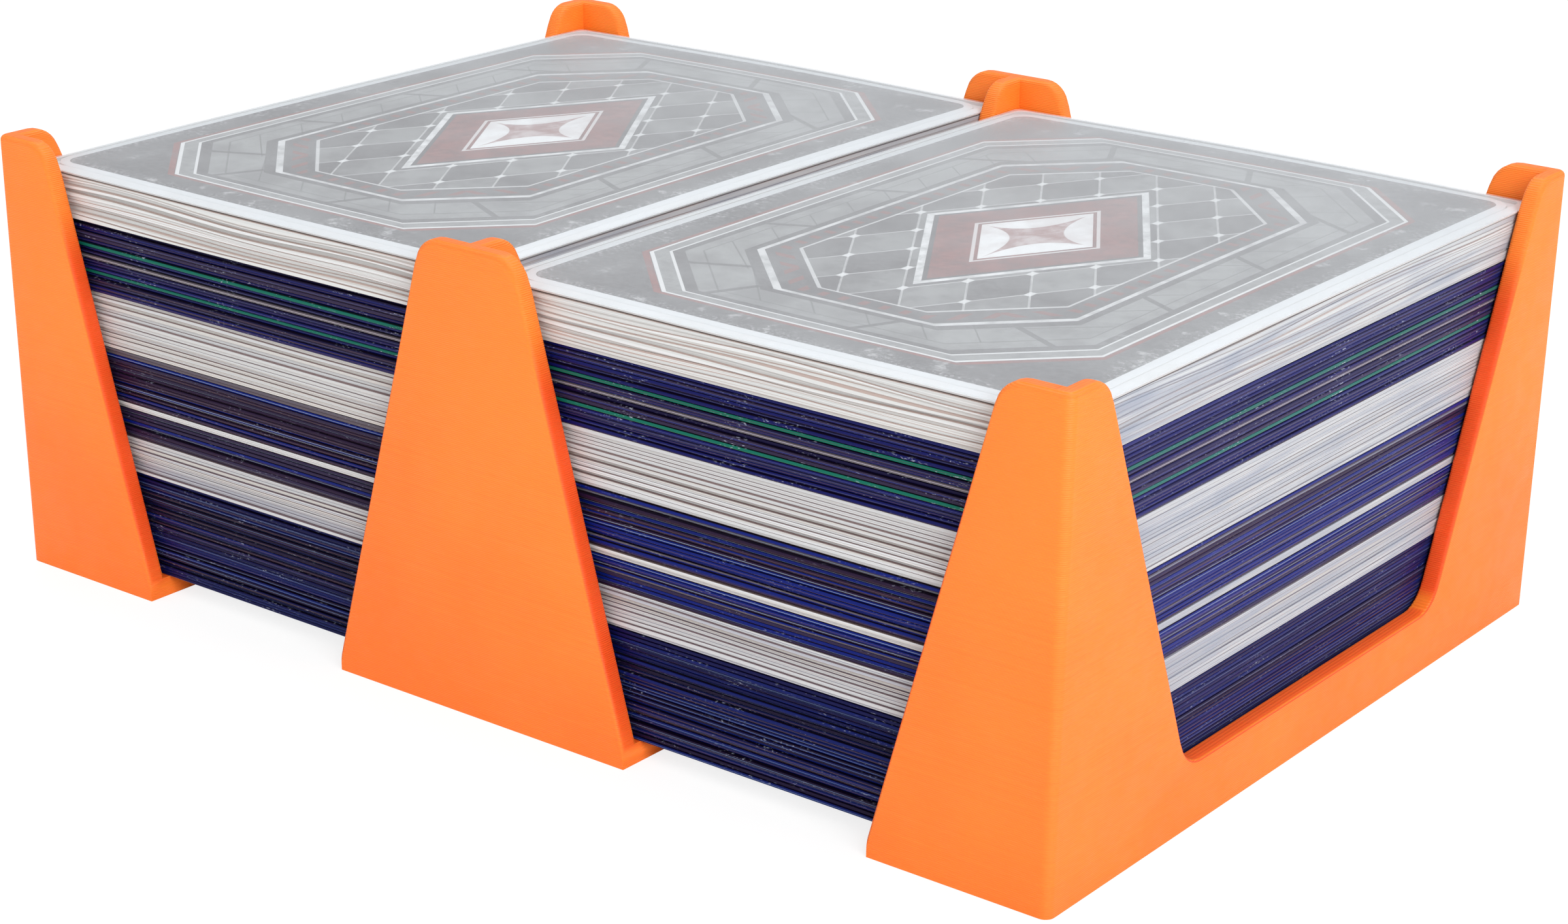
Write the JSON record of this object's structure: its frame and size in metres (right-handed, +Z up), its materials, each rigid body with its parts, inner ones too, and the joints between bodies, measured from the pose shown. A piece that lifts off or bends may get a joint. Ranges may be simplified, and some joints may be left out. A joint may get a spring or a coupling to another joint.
{
  "type": "card storage tray",
  "caption": "Open printed tray with slanted posts that hold stacks of sleeved cards side by side, each stack free to lift straight out.",
  "frame": {"origin": "under the middle of the tray, on the surface it stands on", "axes": "+X along the tray's long side from deck to deck, +Y along the cards' long side, +Z up"},
  "size_m": [0.1388, 0.0964, 0.0496],
  "materials": {
    "tray": "printed plastic with fine layer lines, satin",
    "blue": "edges of cards in clear sleeves",
    "navy": "edges of cards in clear sleeves",
    "dark": "edges of cards in clear sleeves",
    "white": "edges of cards in clear sleeves",
    "green": "edge of a card in a clear sleeve",
    "grey": "edge of a card in a clear sleeve",
    "sleeve": "frosted clear film",
    "card": "printed card"
  },
  "bodies": {
    "tray": {"tray": "tray"},
    "left_blue": {"left_blue_cards": "blue"},
    "left_white_low": {"left_white_cards_low": "white"},
    "left_dark_low": {"left_dark_cards_low": "dark", "left_white_cards_thin": "white"},
    "left_dark_middle": {"left_dark_cards_middle": "dark"},
    "left_white_middle": {"left_white_cards_middle": "white"},
    "left_navy": {"left_navy_cards_low": "navy", "left_green_card_low": "green", "left_navy_cards_middle": "navy", "left_grey_card": "grey", "left_navy_cards_high": "navy", "left_green_card_high": "green", "left_navy_cards_top": "navy"},
    "left_white_top": {"left_white_cards_top": "white"},
    "left_top_card": {"left_top_sleeve": "sleeve", "left_top_card": "card"},
    "right_blue": {"right_blue_cards": "blue"},
    "right_white_low": {"right_white_cards_low": "white"},
    "right_dark_low": {"right_dark_cards_low": "dark", "right_white_cards_thin": "white"},
    "right_dark_middle": {"right_dark_cards_middle": "dark"},
    "right_white_middle": {"right_white_cards_middle": "white"},
    "right_navy": {"right_navy_cards_low": "navy", "right_green_card_low": "green", "right_navy_cards_middle": "navy", "right_grey_card": "grey", "right_navy_cards_high": "navy", "right_green_card_high": "green", "right_navy_cards_top": "navy"},
    "right_white_top": {"right_white_cards_top": "white"},
    "right_top_card": {"right_top_sleeve": "sleeve", "right_top_card": "card"}
  },
  "joints": [
    {"name": "left_blue_lift", "type": "slide", "parent": "tray", "child": "left_blue", "axis": [0, 0, 1], "range_m": [0, 0.0524]},
    {"name": "left_white_low_lift", "type": "slide", "parent": "left_blue", "child": "left_white_low", "axis": [0, 0, 1], "range_m": [0, 0.041]},
    {"name": "left_dark_low_lift", "type": "slide", "parent": "left_white_low", "child": "left_dark_low", "axis": [0, 0, 1], "range_m": [0, 0.037]},
    {"name": "left_dark_middle_lift", "type": "slide", "parent": "left_dark_low", "child": "left_dark_middle", "axis": [0, 0, 1], "range_m": [0, 0.033]},
    {"name": "left_white_middle_lift", "type": "slide", "parent": "left_dark_middle", "child": "left_white_middle", "axis": [0, 0, 1], "range_m": [0, 0.0271]},
    {"name": "left_navy_lift", "type": "slide", "parent": "left_white_middle", "child": "left_navy", "axis": [0, 0, 1], "range_m": [0, 0.0211]},
    {"name": "left_white_top_lift", "type": "slide", "parent": "left_navy", "child": "left_white_top", "axis": [0, 0, 1], "range_m": [0, 0.0133]},
    {"name": "left_top_card_lift", "type": "slide", "parent": "left_white_top", "child": "left_top_card", "axis": [0, 0, 1], "range_m": [0, 0.0086]},
    {"name": "right_blue_lift", "type": "slide", "parent": "tray", "child": "right_blue", "axis": [0, 0, 1], "range_m": [0, 0.0524]},
    {"name": "right_white_low_lift", "type": "slide", "parent": "right_blue", "child": "right_white_low", "axis": [0, 0, 1], "range_m": [0, 0.041]},
    {"name": "right_dark_low_lift", "type": "slide", "parent": "right_white_low", "child": "right_dark_low", "axis": [0, 0, 1], "range_m": [0, 0.037]},
    {"name": "right_dark_middle_lift", "type": "slide", "parent": "right_dark_low", "child": "right_dark_middle", "axis": [0, 0, 1], "range_m": [0, 0.033]},
    {"name": "right_white_middle_lift", "type": "slide", "parent": "right_dark_middle", "child": "right_white_middle", "axis": [0, 0, 1], "range_m": [0, 0.0271]},
    {"name": "right_navy_lift", "type": "slide", "parent": "right_white_middle", "child": "right_navy", "axis": [0, 0, 1], "range_m": [0, 0.0211]},
    {"name": "right_white_top_lift", "type": "slide", "parent": "right_navy", "child": "right_white_top", "axis": [0, 0, 1], "range_m": [0, 0.0133]},
    {"name": "right_top_card_lift", "type": "slide", "parent": "right_white_top", "child": "right_top_card", "axis": [0, 0, 1], "range_m": [0, 0.0086]}
  ]
}
